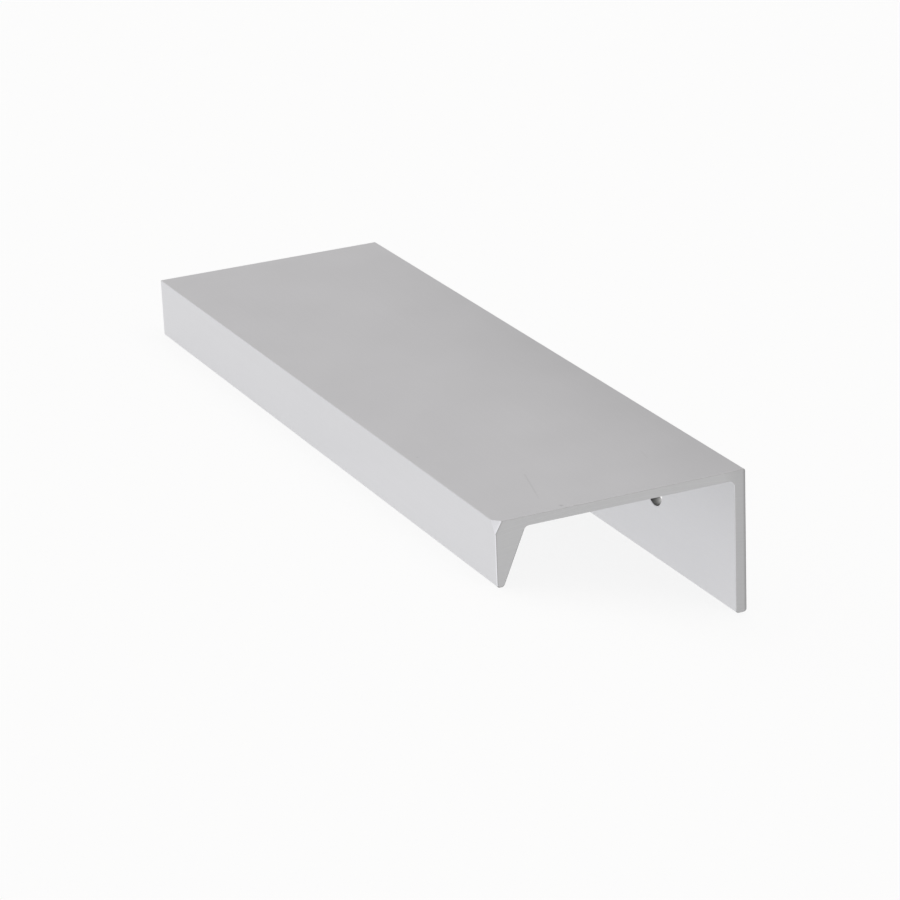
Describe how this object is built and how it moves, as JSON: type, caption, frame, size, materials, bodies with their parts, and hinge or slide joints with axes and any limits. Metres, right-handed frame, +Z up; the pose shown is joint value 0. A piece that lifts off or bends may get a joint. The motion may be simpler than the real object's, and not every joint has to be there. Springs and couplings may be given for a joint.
{
  "type": "cabinet handle",
  "caption": "Edge-pull handle cut from an extruded profile: flat plate over the door's edge, screw flange behind, wedge-shaped grip lip in front.",
  "frame": {"origin": "under the middle of the handle, on the floor it rests on", "axes": "+X along the extrusion, towards the end with the filed corner; -Y towards the grip lip; +Z up, with the handle leaning forward about 18 degrees as it rests"},
  "size_m": [0.128, 0.0448, 0.0215],
  "materials": {
    "anodised_aluminium": "matt natural anodised"
  },
  "bodies": {
    "root": {"handle_profile": "anodised_aluminium"}
  },
  "joints": []
}
